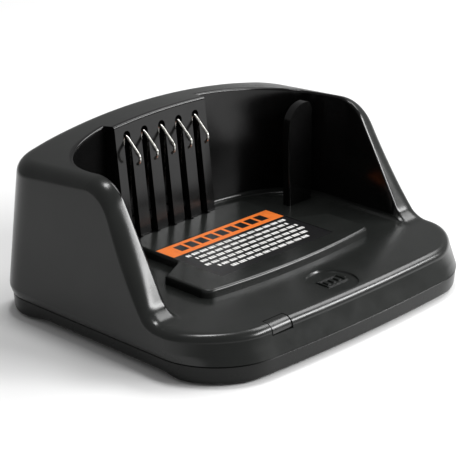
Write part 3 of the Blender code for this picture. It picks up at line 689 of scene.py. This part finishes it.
def add_rest_pad(bm):
    """The raised pad that the radio stands on, with a soft upper edge."""
    outline = pad_outline()
    levels = [(0.0, SUNK_Z)]
    for turn in range(0, 91, 15):
        turn = math.radians(turn)
        inset = PAD_DRAFT + PAD_EDGE * (1 - math.cos(turn))
        levels.append((inset, PAD_Z - PAD_EDGE * (1 - math.sin(turn))))
    rings = []
    for inset, z in levels:
        rings.append([bm.verts.new((x, y, z)) for x, y in inset_outline(outline, inset)])
    bridge(bm, rings)


def add_guide_rib(bm):
    """The upright rib beside the contact wall, with a round shoulder on its inner side."""
    outline = [(RIB_RIGHT, SUNK_Z)]
    outline += arc((RIB_RIGHT - RIB_EDGE, RIB_TOP_Z - RIB_EDGE), RIB_EDGE, 0, 90, 6)
    outline += arc((RIB_LEFT + RIB_SHOULDER, RIB_TOP_Z - RIB_SHOULDER), RIB_SHOULDER, 90, 180, 18)
    outline += [(RIB_LEFT, SUNK_Z)]

    def place(u, v, depth):
        return (u, RIB_FRONT_Y + (v - SHELF_Z) * RIB_LEAN + depth, v)

    front = set(prism(bm, outline, 0, RIB_THICK, place))
    edges = [e for e in bm.edges if e.verts[0] in front and e.verts[1] in front]
    bmesh.ops.bevel(bm, geom=edges, offset=0.6 * MM, segments=4, profile=0.5, affect="EDGES")


def add_rib_web(bm):
    """The web that ties the rib to the pocket's wall behind it."""
    front = RIB_FRONT_Y + 1.2 * MM
    back = arc_depth(WEB_X[0]) + 0.8 * MM
    outline = [(front, SUNK_Z), (back, SUNK_Z), (back, WEB_TOP_Z), (front + RIB_LEAN * WEB_TOP_Z, WEB_TOP_Z)]
    prism(bm, outline, *WEB_X, lambda u, v, d: (d, u, v))


def slot_places():
    places = []
    for node in SPRINGS:
        low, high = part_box(node)
        places.append((low.x + high.x) / 2)
    return places


def add_slots(bm):
    """Round-topped slots through the contact wall, one for each spring."""
    foot = PAD_Z - 0.6 * MM
    for x in slot_places():
        outline = [(x - SLOT_HALF, foot), (x + SLOT_HALF, foot)]
        outline += arc((x, SLOT_TOP_Z - SLOT_HALF), SLOT_HALF, 0, 180, 12)
        prism(bm, outline, *SLOT_CUT, lambda u, v, d: (u, d, v))


def add_spring_space(bm):
    """The hollow behind the contact wall that the springs bend into."""
    top, foot, back = SLOT_TOP_Z + 0.4 * MM, SPRING_SPACE_FOOT, SPRING_SPACE_BACK
    hollow = [(block_face(foot) + WALL, foot), (block_face(top) + WALL, top), (back, top), (back, foot)]
    prism(bm, hollow, *SPRING_SPACE_X, lambda u, v, d: (d, u, v))


def widened(low, high, amount):
    return low - amount, high + amount


def add_recesses(bm):
    """The seats of the label and the emblem, the light pipe's window and the power jack's opening."""
    across = widened(LABEL_LOW.x, LABEL_HIGH.x, LABEL_GAP)
    along = widened(LABEL_LOW.y, LABEL_HIGH.y, LABEL_GAP)
    box(bm, across, along, (PAD_Z - LABEL_SEAT, PAD_Z + MM))
    seat = [(EMBLEM_RADIUS - 0.3 * MM, SHELF_Z - EMBLEM_DEPTH)]
    seat += [(EMBLEM_RADIUS, SHELF_Z), (EMBLEM_RADIUS, SHELF_Z + MM)]
    turned(bm, seat, (0.0, EMBLEM_Y, 0.0), 72)
    box(bm, widened(PIPE_LOW.x, PIPE_HIGH.x, OPENING_GAP), PIPE_CUT_Y, PIPE_CUT_Z)
    jack_height = (JACK_CUT_FOOT, JACK_HIGH.z + OPENING_GAP)
    box(bm, widened(JACK_LOW.x, JACK_HIGH.x, OPENING_GAP), JACK_CUT_Y, jack_height)


# ---------------------------------------------------------------- lower housing


def foot_bulge(x, y):
    """1 under the four corners, where the lower housing swells into a foot, and 0 elsewhere."""
    return blend(41 * MM, 47 * MM, abs(x)) * blend(26 * MM, 33 * MM, abs(y))


def base_section(station):
    """From the tongue inside the upper housing, out over the edge and under to the middle."""
    tongue = TONGUE_INSET + TONGUE_INSET_FRONT * station.frontness
    top = PARTING_Z - SHADOW_GAP
    points = [
        station.outer(tongue + 1.6 * MM, 3.5 * MM),
        station.outer(tongue + 1.3 * MM, TONGUE_Z),
        station.outer(tongue, TONGUE_Z),
        station.outer(tongue, top),
        station.outer(0.35 * MM, top),
        station.outer(0.15 * MM, top - 0.2 * MM),
    ]
    for inset, lift in BASE_EDGE:
        x, y, _ = station.outer(inset * MM)
        bulge = foot_bulge(x, y)
        drop = FOOT_DROP * bulge + FRONT_DROP * station.frontness * (1 - bulge)
        points.append((x, y, BASE_Z - drop + lift * MM))
    for inset in FOOT_INSETS:
        x, y, _ = station.outer(inset * MM)
        points.append((x, y, BASE_Z - FOOT_DROP * foot_bulge(x, y)))
    points.append(station.outer(UNDERSIDE_INSET, BASE_Z))
    return points


def make_lower_housing(finish):
    """The base tray, with bores for its screws and seats for its foot pads."""
    bm = bmesh.new()
    loft(bm, [base_section(station) for station in STATIONS])
    tray = mesh_object("base_tray", bm, finish)

    cut = bmesh.new()
    for i in range(1, 5):
        centre, _ = upright_node(f"housing_screw_{i}")
        turned(cut, ((SCREW_BORE, 0.0), (SCREW_BORE, 3.3 * MM)), centre)
        centre, radius = upright_node(f"foot_pad_{i}")
        radius += 0.3 * MM
        turned(cut, ((radius, -1 * MM), (radius, PAD_BORE_DEPTH)), centre)
    cut_or_join(tray, "DIFFERENCE", cut)
    weigh_normals(tray)
    place_on(tray, CRADLE, "base_plastic", "lower_housing")


def make_foot_pads(finish):
    """Soft pads with a rounded rim and two fine moulded rings."""
    depth = 0.12 * MM
    for i in range(1, 5):
        node = f"foot_pad_{i}"
        centre, radius = upright_node(node)
        rings = ((0.2, 1), (0.45, 1), (0.5, 0), (0.62, 0), (0.67, 1), (0.75, 1), (0.8, 0))
        profile = [(radius * share, groove * depth) for share, groove in rings]
        profile += arc((radius - 0.4 * MM, 0.4 * MM), 0.4 * MM, -90, 0, 5)
        profile += [(radius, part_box(node)[1].z)]
        bm = bmesh.new()
        turned(bm, profile, centre, 56)
        pad = mesh_object(f"rubber_foot_{i}", bm, finish)
        place_on(pad, CRADLE, "foot_rubber", node)


# ---------------------------------------------------------------- contacts


# (y, z) in millimetres, from the carrier up behind the wall, over the bend and down to the free end.
WIRE_ROUTE = (
    (32.6, 10.0),
    (32.6, 16.0),
    (32.4, 32.0),
    (32.25, 44.0),
    (32.1, 48.2),
    (31.8, 49.9),
    (31.1, 50.5),
    (30.2, 50.1),
    (28.9, 49.0),
    (27.0, 47.3),
    (25.3, 45.8),
    (24.7, 44.9),
    (24.65, 43.9),
    (25.0, 43.0),
    (25.8, 42.3),
)


def make_contact_wires(finish):
    """Round plated wires, bent in smooth curves along the route of the CAD springs."""
    side = Vector((1, 0, 0))
    for index, (node, x) in enumerate(zip(SPRINGS, slot_places()), 1):
        bm = bmesh.new()
        points = smooth_route([Vector((x, y * MM, z * MM)) for y, z in WIRE_ROUTE], 4)
        rings = []
        for i, point in enumerate(points):
            ahead = points[min(i + 1, len(points) - 1)] - points[max(i - 1, 0)]
            across = ahead.normalized().cross(side)
            ring = []
            for k in range(WIRE_SIDES):
                turn = 2 * math.pi * k / WIRE_SIDES
                offset = WIRE_RADIUS * (math.cos(turn) * side + math.sin(turn) * across)
                ring.append(bm.verts.new(point + offset))
            rings.append(ring)
        bridge(bm, rings)
        wire = mesh_object(f"contact_wire_{index}", bm, finish, sharp=50.0)
        place_on(wire, f"spring_{index}", "plated_wire", node)


def smooth_route(points, steps):
    """Catmull-Rom curve through the points."""
    padded = [2 * points[0] - points[1], *points, 2 * points[-1] - points[-2]]
    route = []
    for a, b, c, d in zip(padded, padded[1:], padded[2:], padded[3:]):
        for i in range(steps):
            t = i / steps
            square = 2 * a - 5 * b + 4 * c - d
            cube = 3 * b - a - 3 * c + d
            route.append(0.5 * (2 * b + (c - a) * t + square * t**2 + cube * t**3))
    route.append(points[-1])
    return route


# ---------------------------------------------------------------- label, emblem, light pipe


def make_label(film, band, lines):
    """The sticker on the pad: a black film, an orange band along its back and rows of plain light dashes."""
    bm = bmesh.new()
    low, high = LABEL_LOW, LABEL_HIGH
    margin = 0.3 * MM
    painted_box(bm, FILM, (low.x, high.x), (low.y, high.y), (low.z - 0.1 * MM, high.z - 0.04 * MM))
    print_z = (high.z - 0.05 * MM, high.z)
    band_low = high.y - BAND_DEPTH
    painted_box(bm, BAND, (low.x + margin, high.x - margin), (band_low, high.y - margin), print_z)
    add_band_marks(bm, band_low, high)
    for row in range(len(DASH_INSETS)):
        add_dashes(bm, row, band_low - 2.3 * MM - row * DASH_PITCH, print_z)
    label = mesh_object("pad_label", bm, film, band, lines)
    place_on(label, CRADLE, "label_face", "care_label")


def add_band_marks(bm, band_low, high):
    """A row of plain dark bars on the orange band."""
    middle = (band_low + high.y) / 2
    along = (middle - BAND_MARK_HALF, middle + BAND_MARK_HALF)
    height = (high.z - 0.03 * MM, high.z + 0.02 * MM)
    start, end = LABEL_LOW.x + 6 * MM, high.x - 4 * MM
    pitch = (end - start) / BAND_MARKS
    for i in range(BAND_MARKS):
        x = start + i * pitch
        painted_box(bm, FILM, (x, x + pitch * BAND_MARK_SHARE), along, height)


def add_dashes(bm, row, y, print_z):
    """One row of dashes whose lengths repeat in a fixed, uneven pattern."""
    inset = DASH_INSETS[row] * MM
    x = LABEL_LOW.x + inset + 1.5 * MM
    end = LABEL_HIGH.x - inset
    step = row * 3
    while True:
        width = DASH_LENGTHS[step % len(DASH_LENGTHS)] * MM
        if x + width > end:
            break
        painted_box(bm, DASHES, (x, x + width), (y - DASH_HALF, y + DASH_HALF), print_z)
        x += width + (WORD_GAP if (step + row) % 6 in (1, 4) else DASH_GAP) * MM
        step += 1


def make_emblem(finish):
    """A generic battery sign, raised in the round recess on the shelf."""
    bm = bmesh.new()
    low, high = SHELF_Z - EMBLEM_DEPTH - EMBLEM_SUNK, SHELF_Z - EMBLEM_SUNK
    half_x, half_y, bar = 4.6 * MM, 2.6 * MM, 0.7 * MM
    y = EMBLEM_Y
    box(bm, (-half_x, half_x), (y + half_y - bar, y + half_y), (low, high))
    box(bm, (-half_x, half_x), (y - half_y, y - half_y + bar), (low, high))
    box(bm, (-half_x, -half_x + bar), (y - half_y + bar, y + half_y - bar), (low, high))
    box(bm, (half_x - bar, half_x), (y - half_y + bar, y + half_y - bar), (low, high))
    box(bm, (half_x, half_x + 0.9 * MM), (y - 1.0 * MM, y + 1.0 * MM), (low, high))
    for i in range(3):
        x = -half_x + 1.4 * MM + i * 2.4 * MM
        box(bm, (x, x + 1.4 * MM), (y - half_y + 1.4 * MM, y + half_y - 1.4 * MM), (low, high))
    bmesh.ops.bevel(bm, geom=bm.edges[:], offset=0.12 * MM, segments=2, affect="EDGES")
    emblem = mesh_object("charge_emblem", bm, finish)
    place_on(emblem, CRADLE, "black_plastic")


def make_light_pipe(finish):
    """The window in the rounded front edge and the bar behind it."""
    half = (PIPE_HIGH.x - PIPE_LOW.x) / 2
    centre = (PIPE_HIGH.x + PIPE_LOW.x) / 2
    shift = BOW * (centre / HALF_WIDTH) ** 2
    front_y = OUTLINE_Y - HALF_DEPTH + shift + (SHELF_Z - FRONT_ROUND[1] - PARTING_Z) * FRONT_SLOPE
    outline = []
    for i in range(13):
        turn = math.radians(90 + 90 * i / 12)
        y = front_y + FRONT_ROUND[0] + (FRONT_ROUND[0] - PIPE_GAP) * math.cos(turn)
        z = SHELF_Z - FRONT_ROUND[1] + (FRONT_ROUND[1] - PIPE_GAP) * math.sin(turn)
        outline.append((y, z))
    outline += [(front_y + 0.1 * MM, PIPE_UNDER_Z), (-44.0 * MM, PIPE_UNDER_Z)]
    outline += [(-43.6 * MM, PIPE_FOOT_Z), (PIPE_HIGH.y, PIPE_FOOT_Z), (PIPE_HIGH.y, 11.8 * MM)]
    outline += [(-41.5 * MM, 12.3 * MM), (PIPE_BACK_Y, 12.6 * MM), (PIPE_BACK_Y, SHELF_Z - PIPE_GAP)]
    bm = bmesh.new()
    prism(bm, outline, centre - half, centre + half, lambda u, v, d: (d, u, v))
    pipe = mesh_object("indicator_window", bm, finish)
    place_on(pipe, CRADLE, "clear_plastic", "light_pipe")


# ---------------------------------------------------------------- carried-over CAD nodes


def finish_cad_nodes(finishes):
    """Gives each CAD node that stays its own detailed material."""
    for node, finish in finishes.items():
        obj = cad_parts[node]
        obj.data.materials.clear()
        obj.data.materials.append(finish)


def numbered(stem, count, finish):
    return {f"{stem}_{i}": finish for i in range(1, count + 1)}


# ---------------------------------------------------------------- stage, light and camera


def make_stage():
    floor = Nodes("stage_floor")
    floor.colour(floor.noise(3.0), 0.84, 0.87)
    floor.shader.inputs["Roughness"].default_value = 0.6
    bm = bmesh.new()
    bmesh.ops.create_grid(bm, x_segments=2, y_segments=2, size=3.0)
    obj = mesh_object("floor", bm, floor.material)
    obj.location.z = -0.0002


def softbox(name, direction, distance, size, power):
    """An area light that faces the object's middle."""
    data = bpy.data.lights.new(name, "AREA")
    data.shape = "RECTANGLE"
    data.size, data.size_y = size
    data.energy = power
    obj = bpy.data.objects.new(name, data)
    bpy.context.scene.collection.objects.link(obj)
    target = Vector((0.0, 0.0, 0.03))
    obj.location = target + Vector(direction).normalized() * distance
    obj.rotation_euler = (obj.location - target).to_track_quat("Z", "Y").to_euler()


def make_light():
    """An even surround, two key boxes on the right and one overhead."""
    world = bpy.data.worlds.new("studio")
    bpy.context.scene.world = world
    world.use_nodes = True
    surround = world.node_tree.nodes["Background"]
    surround.inputs["Color"].default_value = (1.0, 1.0, 1.0, 1.0)
    surround.inputs["Strength"].default_value = 0.3
    softbox("low_key", (0.58, -0.68, 0.48), 1.0, (0.66, 0.19), 10.5)
    softbox("high_key", (0.68, -0.04, 0.74), 1.0, (0.46, 0.42), 4.6)
    softbox("top", (0.10, 0.08, 1.0), 0.95, (0.20, 0.20), 3.4)


def make_camera():
    """A long lens from the front left, a little above the rim."""
    azimuth, elevation, roll = math.radians(46.67), math.radians(21.48), math.radians(0.43)
    level = math.cos(elevation)
    forward = Vector((math.sin(azimuth) * level, math.cos(azimuth) * level, -math.sin(elevation)))
    right = Vector((math.cos(azimuth), -math.sin(azimuth), 0.0))
    up = right.cross(forward)
    turned_right = right * math.cos(roll) + up * math.sin(roll)
    turned_up = up * math.cos(roll) - right * math.sin(roll)
    data = bpy.data.cameras.new("camera")
    data.sensor_width = 36.0
    data.lens = 146.68
    data.shift_x, data.shift_y = 0.0063, -0.0016
    obj = bpy.data.objects.new("camera", data)
    bpy.context.scene.collection.objects.link(obj)
    axes = Matrix((turned_right, turned_up, -forward)).transposed().to_4x4()
    obj.matrix_world = Matrix.Translation((-0.4134, -0.3850, 0.2421)) @ axes
    bpy.context.scene.camera = obj


# ---------------------------------------------------------------- the whole scene


def inner_finishes():
    """The material of each CAD node that is carried over as it is."""
    steel = plated_metal("zinc_steel", (0.45, 0.45, 0.46), (0.62, 0.62, 0.64), (0.28, 0.45))
    can = plated_metal("can_metal", (0.6, 0.6, 0.62), (0.76, 0.76, 0.78), (0.22, 0.34), 400.0)
    carrier = moulded_plastic("carrier_black", 0.02, 0.035, (0.45, 0.6), 1200.0, 0.3)
    chip = moulded_plastic("chip_epoxy", (0.012, 0.012, 0.013), (0.022, 0.022, 0.024), (0.5, 0.65), 3000.0, 0.5)
    ferrite = moulded_plastic("ferrite", (0.05, 0.05, 0.055), (0.1, 0.1, 0.105), (0.6, 0.8), 2000.0, 0.8)
    ceramic = moulded_plastic("ceramic", (0.62, 0.58, 0.48), (0.76, 0.73, 0.64), (0.4, 0.55), 1500.0, 0.2)
    lamp = moulded_plastic("lamp_resin", (0.7, 0.7, 0.62), (0.85, 0.85, 0.8), (0.2, 0.3), 900.0, 0.1)
    paper = moulded_plastic("blank_foil", (0.42, 0.42, 0.43), (0.55, 0.55, 0.56), (0.35, 0.5), 1500.0, 0.1)
    return {
        "contact_carrier": carrier,
        "contact_retainer": carrier,
        "circuit_board": board_laminate(),
        "dc_jack": chip,
        "controller_chip": chip,
        "power_transistor": chip,
        "rectifier_diode": chip,
        "power_inductor": ferrite,
        "board_fuse": ceramic,
        "indicator_led": lamp,
        "rating_label": paper,
        **numbered("capacitor", 2, can),
        **numbered("housing_screw", 4, steel),
        **numbered("board_screw", 4, steel),
        **numbered("retainer_screw", 2, steel),
    }


def main():
    dark, light = (0.0095, 0.0105, 0.0098), (0.0135, 0.0145, 0.0136)
    satin = moulded_plastic("satin_black", dark, light, (0.2, 0.27), 1600.0, 0.015, 0.36)
    gloss = moulded_plastic("gloss_black", 0.003, 0.005, (0.12, 0.17), 1200.0, 0.01, 0.27)
    dark, light = (0.005, 0.0055, 0.005), (0.008, 0.0085, 0.008)
    base = moulded_plastic("base_black", dark, light, (0.25, 0.31), 1600.0, 0.02, 0.2)
    rubber = moulded_plastic("rubber_black", 0.012, 0.02, (0.75, 0.9), 1500.0, 0.6)
    wire = plated_metal("bright_wire", (0.5, 0.49, 0.46), (0.68, 0.67, 0.63), (0.2, 0.32))
    film = printed_ink("label_film", (0.007, 0.007, 0.0075), (0.006, 0.006, 0.0065), 0.28)
    band = printed_ink("orange_ink", (0.72, 0.17, 0.025), (0.6, 0.13, 0.02), 0.35)
    white = printed_ink("white_ink", (0.82, 0.82, 0.8), (0.6, 0.6, 0.58), 0.4)

    make_camera()
    make_light()
    make_stage()
    make_upper_housing(satin, gloss)
    make_lower_housing(base)
    make_foot_pads(rubber)
    make_contact_wires(wire)
    make_label(film, band, white)
    make_emblem(satin)
    make_light_pipe(smoked_plastic())
    finish_cad_nodes(inner_finishes())
    bpy.context.scene.view_settings.view_transform = "Standard"


main()
